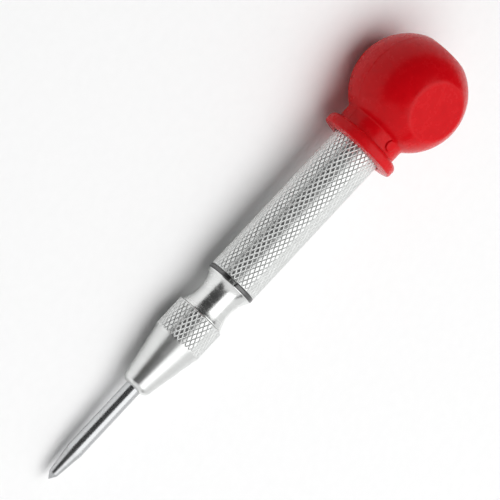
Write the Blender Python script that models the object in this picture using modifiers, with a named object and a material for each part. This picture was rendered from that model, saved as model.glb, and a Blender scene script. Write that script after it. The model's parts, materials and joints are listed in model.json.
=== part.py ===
"""Automatic centre punch with a ball-shaped adjusting cap, as twelve separate pieces.

Every piece is drawn in the tool's own frame: local +Z runs along the tool from the point
(z = 0) to the end of the cap, local +X points out of the cap's upper side flat. The empty
"tool_axis" lays that frame down on a bench (world z = 0): the tool rests on the rim of the
cap's lower side flat and on the knurled band of the nose, so its axis slopes a few degrees.

Metres, +Z up. The point looks along world +X and the cap lies towards world -X.
"""

import math

import bmesh
import bpy
from mathutils import Vector

COLLECTION = "centre_punch"
CUTTERS = "cutters"

# Clearances between neighbouring pieces.
GAP = 0.0003                      # end faces and threads
SLIDE_GAP = 0.00015               # the pin in the nose

# Facets around each turned piece.
OUTER_STEPS = 40
INNER_STEPS = 32

# The cap turns on the barrel's rear thread and moves along with it.
CAP_TURNS = 3                     # turns each way from the rest setting
THREAD_PITCH = 0.001
CAP_TRAVEL = CAP_TURNS * THREAD_PITCH

# Punch pin.
POINT_FLAT_RADIUS = 0.00010
POINT_CONE_END = 0.0017
POINT_CONE_RADIUS = 0.00117
PIN_TAPER_END = 0.0090
PIN_RADIUS = 0.00208
PIN_COLLAR_RADIUS = 0.0029
PIN_COLLAR_LENGTH = 0.0030

# Nose cone.
NOSE_FACE = 0.0291
NOSE_FACE_RADIUS = 0.00345        # where the cone would meet the end face
NOSE_EDGE_ROUND = 0.0013
NOSE_CHAMBER_START = 0.0335
SPRING_CHAMBER_RADIUS = 0.0032
BAND_START = 0.0436
BAND_END = 0.0523
BARREL_RADIUS = 0.0065            # half of the 13 mm stock that the body is turned from
BAND_CHAMFER = 0.00035
NOSE_THREAD_START = 0.0442

# Neck, the waisted middle piece with a threaded stud at both ends.
STUD_RADIUS = 0.0050
FEMALE_THREAD_RADIUS = STUD_RADIUS + GAP
WAIST_MIDDLE = 0.0570
WAIST_RADIUS = 0.00486
WAIST_ARC_RADIUS = 0.0089
NECK_SHOULDER = 0.0617
RING_GROOVE_RADIUS = 0.0053
NECK_REAR = 0.0697
SPRING_SEAT_STATION = 0.0560      # inner shoulder that the return spring pushes on
THROAT_RADIUS = 0.0023
RELIEF_START = 0.0573
RELIEF_RADIUS = 0.0029
TAPER_START = 0.0660
TAPER_END = 0.0682

# Split ring.
RING_WIRE_RADIUS = 0.00044
RING_OUTER_RADIUS = 0.00652
RING_GAP_DEG = 17.0
RING_GAP_AZIMUTH_DEG = -38.3

# Barrel.
BARREL_START = 0.06315
BARREL_END = 0.1200
BORE_RADIUS = 0.0046
BARREL_STEP = 0.0700              # end of the thread that takes the neck
REAR_THREAD_START = 0.1055
BARREL_CHAMFER = 0.0003

# Trip stem.
STEM_LEAN_DEG = 1.32              # lean at rest, which holds the tail off the hammer's hole
STEM_FLANGE_RADIUS = 0.0028
STEM_FLANGE_LENGTH = 0.0013
STEM_SHANK_RADIUS = 0.0015
STEM_COLLAR_START = 0.0580
STEM_COLLAR_END = 0.0615
STEM_COLLAR_RADIUS = 0.0020
STEM_TAIL_RADIUS = 0.0013

# Hammer.
HAMMER_START = NECK_REAR + GAP
HAMMER_LENGTH = 0.0140
HAMMER_RADIUS = BORE_RADIUS - GAP
HAMMER_HOLE_RADIUS = 0.00145
HAMMER_HOLE_DEPTH = 0.0100
HAMMER_CHAMFER = 0.0005

# Springs.
RETURN_WIRE_RADIUS = 0.0003
RETURN_COIL_RADIUS = 0.0025
RETURN_TURNS = 9
MAIN_WIRE_RADIUS = 0.0006
MAIN_COIL_RADIUS = 0.0035
MAIN_TURNS = 7
COIL_POINTS_PER_TURN = 12

# Spring seat and adjusting screw.
SEAT_START = 0.1083
SEAT_LENGTH = 0.0022
SEAT_PILOT_RADIUS = 0.0022
SEAT_PILOT_LENGTH = 0.0030
SCREW_START = SEAT_START + SEAT_LENGTH + GAP
SCREW_SHANK_RADIUS = 0.0040
SCREW_END = 0.1320

# Cap.
FLANGE_START = 0.1055
FLANGE_END = 0.1092
FLANGE_RADIUS = 0.0103
FLANGE_TOP_ROUND = 0.0011
FLANGE_BOTTOM_ROUND = 0.0005
CAP_NECK_RADIUS = 0.0085
BALL_CENTRE = 0.1239
BALL_RADIUS = 0.0144
FILLET_RADIUS = 0.0016            # hollow blend between the cap's neck and the ball
CAP_END = 0.1376
CAP_END_ROUND = 0.0016
SIDE_FLAT_DISTANCE = 0.0121       # from the axis to each side flat
CAP_BORE_RADIUS = BARREL_RADIUS + GAP
CAP_SOCKET_END = BARREL_END + CAP_TRAVEL + 0.0009
BOSS_RADIUS = 0.0018
BOSS_STATION = 0.1114
BOSS_FACE = 0.0090                # distance of the boss's face from the axis

# name: (red, green, blue), roughness, metallic
FINISHES = {
    "chromed_steel": ((0.72, 0.73, 0.74), 0.12, 1.0),
    "turned_aluminium": ((0.78, 0.79, 0.78), 0.28, 1.0),
    "knurled_aluminium": ((0.80, 0.81, 0.81), 0.24, 1.0),
    "ground_steel": ((0.50, 0.50, 0.51), 0.35, 1.0),
    "spring_steel": ((0.38, 0.38, 0.40), 0.40, 1.0),
    "blackened_steel": ((0.02, 0.02, 0.02), 0.45, 0.6),
    "brass": ((0.78, 0.62, 0.30), 0.30, 1.0),
    "red_plastic": ((0.55, 0.01, 0.02), 0.28, 0.0),
}


def clear_scene():
    """Remove everything that the start-up file holds."""
    for item in list(bpy.data.objects):
        bpy.data.objects.remove(item, do_unlink=True)


def new_collection(name):
    """Return a fresh collection linked to the scene."""
    collection = bpy.data.collections.new(name)
    bpy.context.scene.collection.children.link(collection)
    return collection


def finish_material(name):
    """Return the Principled material of one finish, made once."""
    existing = bpy.data.materials.get(name)
    if existing:
        return existing
    colour, roughness, metallic = FINISHES[name]
    material = bpy.data.materials.new(name)
    material.use_nodes = True
    shader = material.node_tree.nodes["Principled BSDF"]
    shader.inputs["Base Color"].default_value = (*colour, 1.0)
    shader.inputs["Roughness"].default_value = roughness
    shader.inputs["Metallic"].default_value = metallic
    material.diffuse_color = (*colour, 1.0)
    return material


def arc(centre_r, centre_z, radius, start_deg, end_deg, segments):
    """Points (r, z) along an arc, angles measured from the +r direction towards +z."""
    points = []
    for i in range(segments + 1):
        angle = math.radians(start_deg + (end_deg - start_deg) * i / segments)
        points.append((centre_r + radius * math.cos(angle), centre_z + radius * math.sin(angle)))
    return points


def turned(name, profile, finish, collection, parent, steps=OUTER_STEPS, closed=True):
    """Revolve a profile of (r, z) points about the tool's axis.

    The profile runs down its outer side from the cap end to the point end and back up its
    bore. A closed profile is a ring; an open one starts and ends on the axis.
    """
    mesh = bpy.data.meshes.new(name)
    vertices = [(r, 0.0, z) for r, z in profile]
    edges = [(i, i + 1) for i in range(len(profile) - 1)]
    if closed:
        edges.append((len(profile) - 1, 0))
    mesh.from_pydata(vertices, edges, [])
    mesh.materials.append(finish_material(finish))
    piece = bpy.data.objects.new(name, mesh)
    collection.objects.link(piece)
    piece.parent = parent
    screw = piece.modifiers.new("turn", "SCREW")
    screw.axis = "Z"
    screw.angle = math.tau
    screw.steps = steps
    screw.render_steps = steps
    screw.use_merge_vertices = True
    screw.merge_threshold = 0.00001
    screw.use_smooth_shade = False
    return piece


def wire(name, points, radius, finish, collection, parent):
    """Bend a round wire with closed ends along a list of points."""
    curve = bpy.data.curves.new(name, "CURVE")
    curve.dimensions = "3D"
    curve.bevel_depth = radius
    curve.bevel_resolution = 2
    curve.use_fill_caps = True
    spline = curve.splines.new("POLY")
    spline.points.add(len(points) - 1)
    for slot, point in zip(spline.points, points):
        slot.co = (*point, 1.0)
    curve.materials.append(finish_material(finish))
    piece = bpy.data.objects.new(name, curve)
    collection.objects.link(piece)
    piece.parent = parent
    return piece


def coil_points(radius, start, end, turns, wire_radius):
    """Points of a compression spring whose first and last turns lie closed.

    start and end are the outer faces of the spring. The closed end turns rise by just over
    one wire diameter, and the turns between share the rest of the length evenly.
    """
    bottom = start + wire_radius
    height = end - wire_radius - bottom
    closed_rise = 2.3 * wire_radius
    open_rise = (height - 2 * closed_rise) / (turns - 2)
    points = []
    for i in range(turns * COIL_POINTS_PER_TURN + 1):
        turn = i / COIL_POINTS_PER_TURN
        first = min(turn, 1.0)
        middle = min(max(turn - 1.0, 0.0), turns - 2.0)
        last = max(turn - (turns - 1.0), 0.0)
        z = bottom + closed_rise * (first + last) + open_rise * middle
        angle = math.tau * turn
        points.append((radius * math.cos(angle), radius * math.sin(angle), z))
    return points


def add_boolean(piece, tool, operation):
    """Cut or join a piece with a helper shape."""
    boolean = piece.modifiers.new(tool.name, "BOOLEAN")
    boolean.solver = "EXACT"
    boolean.operation = operation
    boolean.object = tool


def helper(name, bm, collection, parent):
    """Store a bmesh as a hidden guide for a boolean."""
    mesh = bpy.data.meshes.new(name)
    bm.to_mesh(mesh)
    bm.free()
    guide = bpy.data.objects.new(name, mesh)
    collection.objects.link(guide)
    guide.parent = parent
    guide.hide_render = True
    guide.display_type = "WIRE"
    return guide


def lay_down():
    """Empty that carries the tool's frame, resting on the nose band and the cap's flat."""
    rim_half_width = math.sqrt(BALL_RADIUS ** 2 - SIDE_FLAT_DISTANCE ** 2)
    band_contact = Vector((-BARREL_RADIUS, 0.0, BAND_START + BAND_CHAMFER))
    rim_contact = Vector((-SIDE_FLAT_DISTANCE, 0.0, BALL_CENTRE - rim_half_width))
    rise = band_contact.x - rim_contact.x
    slope = math.atan2(rise, rim_contact.z - band_contact.z)

    tool_axis = bpy.data.objects.new("tool_axis", None)
    tool_axis.rotation_euler = (0.0, slope - math.pi / 2, 0.0)
    turn = tool_axis.rotation_euler.to_matrix()
    point_x = (turn @ Vector((0.0, 0.0, 0.0))).x
    cap_x = (turn @ Vector((0.0, 0.0, BALL_CENTRE))).x - BALL_RADIUS
    cap_x = max(cap_x, (turn @ Vector((0.0, 0.0, CAP_END))).x)
    tool_axis.location = (-(point_x + cap_x) / 2, 0.0, -(turn @ rim_contact).z)
    return tool_axis


def punch_pin(collection, parent):
    """Hardened pin with its conical point and the collar that keeps it in the nose."""
    collar_start = NOSE_CHAMBER_START + GAP
    collar_end = collar_start + PIN_COLLAR_LENGTH
    chamfer = 0.0003
    profile = [
        (0.0, collar_end),
        (PIN_COLLAR_RADIUS - chamfer, collar_end),
        (PIN_COLLAR_RADIUS, collar_end - chamfer),
        (PIN_COLLAR_RADIUS, collar_start),
        (PIN_RADIUS, collar_start),
        (PIN_RADIUS, PIN_TAPER_END),
        (POINT_CONE_RADIUS, POINT_CONE_END),
        (POINT_FLAT_RADIUS, 0.0),
        (0.0, 0.0),
    ]
    turned("punch_pin", profile, "chromed_steel", collection, parent, OUTER_STEPS, closed=False)
    return collar_end


def nose_cone(collection, parent):
    """Tapered front cover with a knurled band, bored for the pin and threaded for the neck."""
    cone_slope = (BARREL_RADIUS - NOSE_FACE_RADIUS) / (BAND_START - NOSE_FACE)
    cone_deg = math.degrees(math.atan(cone_slope))
    half_corner = math.radians((90.0 - cone_deg) / 2)
    round_centre_r = NOSE_FACE_RADIUS - NOSE_EDGE_ROUND * math.tan(half_corner)
    profile = [
        (FEMALE_THREAD_RADIUS, BAND_END),
        (BARREL_RADIUS - BAND_CHAMFER, BAND_END),
        (BARREL_RADIUS, BAND_END - BAND_CHAMFER),
        (BARREL_RADIUS, BAND_START + BAND_CHAMFER),
        (BARREL_RADIUS - cone_slope * BAND_CHAMFER, BAND_START),
    ]
    profile += arc(round_centre_r, NOSE_FACE + NOSE_EDGE_ROUND, NOSE_EDGE_ROUND, -cone_deg, -90.0, 5)
    profile += [
        (PIN_RADIUS + SLIDE_GAP, NOSE_FACE),
        (PIN_RADIUS + SLIDE_GAP, NOSE_CHAMBER_START),
        (SPRING_CHAMBER_RADIUS, NOSE_CHAMBER_START),
        (SPRING_CHAMBER_RADIUS, NOSE_THREAD_START),
        (FEMALE_THREAD_RADIUS, NOSE_THREAD_START),
    ]
    turned("nose_cone", profile, "turned_aluminium", collection, parent)


def neck(collection, parent):
    """Waisted piece between nose and barrel, with the tapered throat that centres the stem."""
    waist_centre = WAIST_RADIUS + WAIST_ARC_RADIUS
    front_face = BAND_END + GAP
    rear_deg = 180.0 - math.degrees(math.asin((NECK_SHOULDER - WAIST_MIDDLE) / WAIST_ARC_RADIUS))
    front_deg = 180.0 + math.degrees(math.asin((WAIST_MIDDLE - front_face) / WAIST_ARC_RADIUS))
    chamfer = 0.0004
    stud_front = NOSE_THREAD_START + GAP
    profile = [
        (THROAT_RADIUS, NECK_REAR),
        (STUD_RADIUS - chamfer, NECK_REAR),
        (STUD_RADIUS, NECK_REAR - chamfer),
        (STUD_RADIUS, BARREL_START - GAP),
        (RING_GROOVE_RADIUS, BARREL_START - GAP),
        (RING_GROOVE_RADIUS, NECK_SHOULDER),
    ]
    profile += arc(waist_centre, WAIST_MIDDLE, WAIST_ARC_RADIUS, rear_deg, front_deg, 9)
    profile += [
        (STUD_RADIUS, front_face),
        (STUD_RADIUS, stud_front + chamfer),
        (STUD_RADIUS - chamfer, stud_front),
        (SPRING_CHAMBER_RADIUS, stud_front),
        (SPRING_CHAMBER_RADIUS, SPRING_SEAT_STATION),
        (THROAT_RADIUS, SPRING_SEAT_STATION),
        (THROAT_RADIUS, RELIEF_START),
        (RELIEF_RADIUS, RELIEF_START),
        (RELIEF_RADIUS, TAPER_START),
        (THROAT_RADIUS, TAPER_END),
    ]
    turned("neck", profile, "turned_aluminium", collection, parent)


def split_ring(collection, parent):
    """Open ring of black spring wire in the groove between neck and barrel."""
    path_radius = RING_OUTER_RADIUS - RING_WIRE_RADIUS
    station = (NECK_SHOULDER + BARREL_START) / 2
    segments = 44
    start = RING_GAP_AZIMUTH_DEG + RING_GAP_DEG / 2
    sweep = 360.0 - RING_GAP_DEG
    points = []
    for i in range(segments + 1):
        angle = math.radians(start + sweep * i / segments)
        points.append((path_radius * math.cos(angle), path_radius * math.sin(angle), station))
    wire("split_ring", points, RING_WIRE_RADIUS, "blackened_steel", collection, parent)


def barrel(collection, parent):
    """Knurled tube, threaded at the front for the neck and at the back for the screw."""
    profile = [
        (FEMALE_THREAD_RADIUS, BARREL_END),
        (BARREL_RADIUS - BARREL_CHAMFER, BARREL_END),
        (BARREL_RADIUS, BARREL_END - BARREL_CHAMFER),
        (BARREL_RADIUS, BARREL_START + BARREL_CHAMFER),
        (BARREL_RADIUS - BARREL_CHAMFER, BARREL_START),
        (FEMALE_THREAD_RADIUS, BARREL_START),
        (FEMALE_THREAD_RADIUS, BARREL_STEP),
        (BORE_RADIUS, BARREL_STEP),
        (BORE_RADIUS, REAR_THREAD_START),
        (FEMALE_THREAD_RADIUS, REAR_THREAD_START),
    ]
    turned("barrel", profile, "knurled_aluminium", collection, parent)


def trip_stem(collection, parent, pivot_station):
    """Stepped stem that leans at rest and is centred by the throat at the end of the stroke."""
    pivot = bpy.data.objects.new("stem_pivot", None)
    collection.objects.link(pivot)
    pivot.parent = parent
    pivot.location = (0.0, 0.0, pivot_station)
    pivot.rotation_euler = (0.0, -math.radians(STEM_LEAN_DEG), 0.0)
    tail_chamfer = 0.0002
    flange_end = STEM_FLANGE_LENGTH
    collar_start = STEM_COLLAR_START - pivot_station
    collar_end = STEM_COLLAR_END - pivot_station
    tail_end = NECK_REAR - pivot_station
    profile = [
        (0.0, tail_end),
        (STEM_TAIL_RADIUS - tail_chamfer, tail_end),
        (STEM_TAIL_RADIUS, tail_end - tail_chamfer),
        (STEM_TAIL_RADIUS, collar_end),
        (STEM_COLLAR_RADIUS, collar_end),
        (STEM_COLLAR_RADIUS, collar_start + STEM_COLLAR_RADIUS - STEM_SHANK_RADIUS),
        (STEM_SHANK_RADIUS, collar_start),
        (STEM_SHANK_RADIUS, flange_end),
        (STEM_FLANGE_RADIUS, flange_end),
        (STEM_FLANGE_RADIUS, GAP / 2),
        (STEM_SHANK_RADIUS, 0.0),
        (0.0, 0.0),
    ]
    turned("trip_stem", profile, "ground_steel", collection, pivot, INNER_STEPS, closed=False)
    return pivot_station + flange_end


def return_spring(collection, parent, front):
    """Light spring that pushes the stem and the pin out again."""
    points = coil_points(
        RETURN_COIL_RADIUS, front + GAP, SPRING_SEAT_STATION - GAP, RETURN_TURNS, RETURN_WIRE_RADIUS
    )
    wire("return_spring", points, RETURN_WIRE_RADIUS, "spring_steel", collection, parent)


def hammer(collection, parent):
    """Steel striker with the hole that the stem's tail drops into when it is centred."""
    rear = HAMMER_START + HAMMER_LENGTH
    profile = [
        (0.0, rear),
        (HAMMER_RADIUS - HAMMER_CHAMFER, rear),
        (HAMMER_RADIUS, rear - HAMMER_CHAMFER),
        (HAMMER_RADIUS, HAMMER_START + HAMMER_CHAMFER),
        (HAMMER_RADIUS - HAMMER_CHAMFER, HAMMER_START),
        (HAMMER_HOLE_RADIUS, HAMMER_START),
        (HAMMER_HOLE_RADIUS, HAMMER_START + HAMMER_HOLE_DEPTH),
        (0.0, HAMMER_START + HAMMER_HOLE_DEPTH + HAMMER_HOLE_RADIUS / 2),
    ]
    turned("hammer", profile, "ground_steel", collection, parent, INNER_STEPS, closed=False)
    return rear


def main_spring(collection, parent, front):
    """Heavy spring that drives the hammer."""
    points = coil_points(
        MAIN_COIL_RADIUS, front + GAP, SEAT_START - GAP, MAIN_TURNS, MAIN_WIRE_RADIUS
    )
    wire("main_spring", points, MAIN_WIRE_RADIUS, "spring_steel", collection, parent)


def spring_seat(collection, parent):
    """Loose thrust disc with a pilot inside the main spring, so that the spring need not turn."""
    rear = SEAT_START + SEAT_LENGTH
    pilot_end = SEAT_START - SEAT_PILOT_LENGTH
    profile = [
        (0.0, rear),
        (HAMMER_RADIUS, rear),
        (HAMMER_RADIUS, SEAT_START),
        (SEAT_PILOT_RADIUS, SEAT_START),
        (SEAT_PILOT_RADIUS, pilot_end + HAMMER_CHAMFER),
        (SEAT_PILOT_RADIUS - HAMMER_CHAMFER, pilot_end),
        (0.0, pilot_end),
    ]
    turned("spring_seat", profile, "ground_steel", collection, parent, INNER_STEPS, closed=False)


def adjusting_screw(collection, parent):
    """Brass screw that is fixed in the cap and runs in the barrel's rear thread."""
    chamfer = 0.0005
    profile = [
        (0.0, SCREW_END),
        (SCREW_SHANK_RADIUS - chamfer, SCREW_END),
        (SCREW_SHANK_RADIUS, SCREW_END - chamfer),
        (SCREW_SHANK_RADIUS, CAP_SOCKET_END - GAP),
        (STUD_RADIUS, CAP_SOCKET_END - GAP),
        (STUD_RADIUS, SCREW_START + chamfer),
        (STUD_RADIUS - chamfer, SCREW_START),
        (0.0, SCREW_START),
    ]
    turned("adjusting_screw", profile, "brass", collection, parent, INNER_STEPS, closed=False)


def cap_profile():
    """Half section of the cap: ball, neck, flange and the socket over the barrel."""
    end_above_centre = CAP_END - BALL_CENTRE
    # The small round at the end is tangent to the end plane and to the ball.
    end_round_z = end_above_centre - CAP_END_ROUND
    end_round_r = math.sqrt((BALL_RADIUS - CAP_END_ROUND) ** 2 - end_round_z ** 2)
    ball_start_deg = math.degrees(math.atan2(end_round_z, end_round_r))
    # The fillet is tangent to the neck's cylinder and to the ball.
    fillet_r = CAP_NECK_RADIUS + FILLET_RADIUS
    fillet_z = -math.sqrt((BALL_RADIUS + FILLET_RADIUS) ** 2 - fillet_r ** 2)
    ball_end_deg = math.degrees(math.atan2(fillet_z, fillet_r))

    points = [(0.0, CAP_END)]
    points += arc(end_round_r, BALL_CENTRE + end_round_z, CAP_END_ROUND, 90.0, ball_start_deg, 3)
    points += arc(0.0, BALL_CENTRE, BALL_RADIUS, ball_start_deg, ball_end_deg, 17)[1:]
    points += arc(fillet_r, BALL_CENTRE + fillet_z, FILLET_RADIUS, 180.0 + ball_end_deg, 180.0, 3)[1:]
    points.append((CAP_NECK_RADIUS, FLANGE_END))
    top_round = FLANGE_RADIUS - FLANGE_TOP_ROUND
    points += arc(top_round, FLANGE_END - FLANGE_TOP_ROUND, FLANGE_TOP_ROUND, 90.0, 0.0, 4)
    low_round = FLANGE_RADIUS - FLANGE_BOTTOM_ROUND
    points += arc(low_round, FLANGE_START + FLANGE_BOTTOM_ROUND, FLANGE_BOTTOM_ROUND, 0.0, -90.0, 2)
    points += [
        (CAP_BORE_RADIUS, FLANGE_START),
        (CAP_BORE_RADIUS, CAP_SOCKET_END),
        (SCREW_SHANK_RADIUS + GAP, CAP_SOCKET_END),
        (SCREW_SHANK_RADIUS + GAP, SCREW_END + GAP),
        (0.0, SCREW_END + GAP),
    ]
    return points


def grip_cap(collection, cutters, parent):
    """Red moulded cap: a ball with two side flats, a flange and a small moulded boss."""
    cap = turned("grip_cap", cap_profile(), "red_plastic", collection, parent, closed=False)

    bm = bmesh.new()
    bmesh.ops.create_cone(
        bm, cap_ends=True, segments=24, radius1=BOSS_RADIUS, radius2=BOSS_RADIUS, depth=BALL_RADIUS / 8
    )
    boss = helper("boss_guide", bm, cutters, parent)
    boss.rotation_euler = (0.0, math.pi / 2, 0.0)
    boss.location = (BOSS_FACE - BALL_RADIUS / 16, 0.0, BOSS_STATION)
    add_boolean(cap, boss, "UNION")

    for side, name in ((1, "upper_flat_guide"), (-1, "lower_flat_guide")):
        bm = bmesh.new()
        bmesh.ops.create_cube(bm, size=2 * BALL_RADIUS)
        flat = helper(name, bm, cutters, parent)
        flat.location = (side * (SIDE_FLAT_DISTANCE + BALL_RADIUS), 0.0, BALL_CENTRE)
        add_boolean(cap, flat, "DIFFERENCE")


def shade(collection):
    """Shade the round faces smooth and keep the turned edges sharp."""
    for piece in collection.objects:
        if piece.type == "MESH":
            smooth = piece.modifiers.get("turn")
            smooth.use_smooth_shade = True
            piece.data.shade_smooth()
            piece.data.set_sharp_from_angle(angle=math.radians(30.0))


def main():
    """Build the whole tool."""
    clear_scene()
    collection = new_collection(COLLECTION)
    cutters = new_collection(CUTTERS)
    tool_axis = lay_down()
    collection.objects.link(tool_axis)

    collar_end = punch_pin(collection, tool_axis)
    nose_cone(collection, tool_axis)
    neck(collection, tool_axis)
    split_ring(collection, tool_axis)
    barrel(collection, tool_axis)
    stem_flange_end = trip_stem(collection, tool_axis, collar_end + GAP)
    return_spring(collection, tool_axis, stem_flange_end)
    hammer_end = hammer(collection, tool_axis)
    main_spring(collection, tool_axis, hammer_end)
    spring_seat(collection, tool_axis)
    adjusting_screw(collection, tool_axis)
    grip_cap(collection, cutters, tool_axis)
    shade(collection)


main()
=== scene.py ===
"""Looks of the automatic centre punch, laid out as a Blender add-on.

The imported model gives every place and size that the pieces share. Each piece is drawn in
the tool's own frame and then set down in the model's frame: in the tool's frame +Z runs
from the point to the end of the cap, +X points out of the cap's upper side flat, and z is
called a station. Lengths are in metres.
"""

import json
import math

import bmesh
import bpy
from bpy.props import FloatProperty, FloatVectorProperty, IntProperty, PointerProperty
from mathutils import Matrix, Vector

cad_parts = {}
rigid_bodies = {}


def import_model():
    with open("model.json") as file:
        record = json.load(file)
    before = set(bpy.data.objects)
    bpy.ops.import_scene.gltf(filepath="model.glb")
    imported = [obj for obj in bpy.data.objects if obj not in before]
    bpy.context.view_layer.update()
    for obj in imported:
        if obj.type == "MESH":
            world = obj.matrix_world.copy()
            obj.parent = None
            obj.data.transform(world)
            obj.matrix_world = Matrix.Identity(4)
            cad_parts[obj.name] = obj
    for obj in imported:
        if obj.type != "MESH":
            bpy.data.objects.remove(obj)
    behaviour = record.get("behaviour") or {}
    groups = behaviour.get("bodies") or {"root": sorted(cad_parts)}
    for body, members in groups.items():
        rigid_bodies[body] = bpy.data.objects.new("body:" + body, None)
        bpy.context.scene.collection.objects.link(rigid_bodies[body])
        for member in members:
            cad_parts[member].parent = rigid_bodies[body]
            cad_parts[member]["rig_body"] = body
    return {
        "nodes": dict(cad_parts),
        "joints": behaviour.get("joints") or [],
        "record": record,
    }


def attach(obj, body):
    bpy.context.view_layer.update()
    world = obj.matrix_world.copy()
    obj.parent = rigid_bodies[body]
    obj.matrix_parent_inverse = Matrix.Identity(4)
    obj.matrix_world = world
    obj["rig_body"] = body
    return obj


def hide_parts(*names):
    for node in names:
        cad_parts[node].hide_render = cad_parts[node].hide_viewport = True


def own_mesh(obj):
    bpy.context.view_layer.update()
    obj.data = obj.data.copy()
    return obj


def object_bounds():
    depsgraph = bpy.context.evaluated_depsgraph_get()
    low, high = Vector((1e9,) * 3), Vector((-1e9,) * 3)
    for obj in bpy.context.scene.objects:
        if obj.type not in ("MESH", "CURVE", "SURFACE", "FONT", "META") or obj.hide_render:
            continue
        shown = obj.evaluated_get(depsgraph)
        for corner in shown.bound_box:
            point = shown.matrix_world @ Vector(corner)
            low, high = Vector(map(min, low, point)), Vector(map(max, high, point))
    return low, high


bl_info = {
    "name": "Centre Punch",
    "version": (1, 0, 0),
    "blender": (4, 5, 0),
    "location": "3D View > Sidebar > Centre Punch",
    "description": "Builds the visible pieces of an automatic centre punch and its studio",
    "category": "Add Mesh",
}

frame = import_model()
CAD_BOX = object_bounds()

MM = 0.001
GAP = 0.3 * MM                # end gap that the model keeps between neighbouring pieces
JOINT_LINE = 0.08 * MM        # gap that shows where the neck meets the nose
FINE_COLUMNS = 160            # facets round a visible turned piece
INNER_COLUMNS = 96            # facets round a piece inside the tool
SHARP_ANGLE = math.radians(28.0)


# ---------------------------------------------------------------- the tool's frame

def tool_matrix():
    """Matrix from the tool's frame to the model's frame, read from the record's flats."""
    mounts = {mount["name"]: mount for mount in frame["record"]["mounts"]}
    along = Vector(mounts["cap_end"]["axis"]).normalized()
    up = Vector(mounts["upper_side_flat"]["axis"])
    up = (up - up.dot(along) * along).normalized()
    side = along.cross(up)
    end = Vector(mounts["cap_end"]["pos_m"])
    point = min((v.co - end).dot(along) for v in frame["nodes"]["punch_pin"].data.vertices)
    matrix = Matrix((up, side, along)).transposed().to_4x4()
    matrix.translation = end + point * along
    return matrix


TOOL = tool_matrix()
TOOL_INVERSE = TOOL.inverted()


def extent(node):
    """First station, last station and largest radius of a node of the model."""
    points = [TOOL_INVERSE @ v.co for v in frame["nodes"][node].data.vertices]
    stations = [p.z for p in points]
    return min(stations), max(stations), max(math.hypot(p.x, p.y) for p in points)


# ---------------------------------------------------------------- settings

class KnurlSettings(bpy.types.PropertyGroup):
    """The diamond knurl of the barrel and of the nose band."""

    starts: IntProperty(
        name="Starts", description="Grooves of each hand round the body", default=35, min=8, max=90
    )
    pitch: FloatProperty(
        name="Axial pitch", description="Length of one diamond along the tool",
        default=2.16 * MM, min=0.5 * MM, unit="LENGTH", precision=5,
    )
    depth: FloatProperty(
        name="Groove depth", description="Depth of the rolled grooves",
        default=0.10 * MM, min=0.0, unit="LENGTH", precision=5,
    )
    samples: IntProperty(
        name="Samples", description="Mesh rows in one pitch, an even number; a groove takes two",
        default=6, min=6,
    )


class CapSettings(bpy.types.PropertyGroup):
    """The moulded cap."""

    colour: FloatVectorProperty(
        name="Colour", description="Colour of the moulded plastic", subtype="COLOR",
        size=3, min=0.0, max=1.0, default=(0.62, 0.002, 0.006),
    )
    flat_softness: FloatProperty(
        name="Flat rim", description="Width over which a side flat blends into the ball",
        default=0.35 * MM, min=0.1 * MM, unit="LENGTH", precision=5,
    )
    seam_height: FloatProperty(
        name="Seam height", description="Height of the moulding seam on the ball",
        default=0.08 * MM, min=0.0, unit="LENGTH", precision=5,
    )


class MetalSettings(bpy.types.PropertyGroup):
    """Colours of the bare metals."""

    aluminium: FloatVectorProperty(
        name="Aluminium", description="Colour of the turned aluminium", subtype="COLOR",
        size=3, min=0.0, max=1.0, default=(0.86, 0.87, 0.86),
    )
    chrome: FloatVectorProperty(
        name="Chrome", description="Colour of the plated pin", subtype="COLOR",
        size=3, min=0.0, max=1.0, default=(0.63, 0.64, 0.65),
    )
    black_steel: FloatVectorProperty(
        name="Black steel", description="Colour of the split ring", subtype="COLOR",
        size=3, min=0.0, max=1.0, default=(0.17, 0.17, 0.17),
    )
    steel: FloatVectorProperty(
        name="Steel", description="Colour of the inner steel pieces", subtype="COLOR",
        size=3, min=0.0, max=1.0, default=(0.52, 0.52, 0.53),
    )
    brass: FloatVectorProperty(
        name="Brass", description="Colour of the adjusting screw", subtype="COLOR",
        size=3, min=0.0, max=1.0, default=(0.78, 0.58, 0.26),
    )


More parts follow.
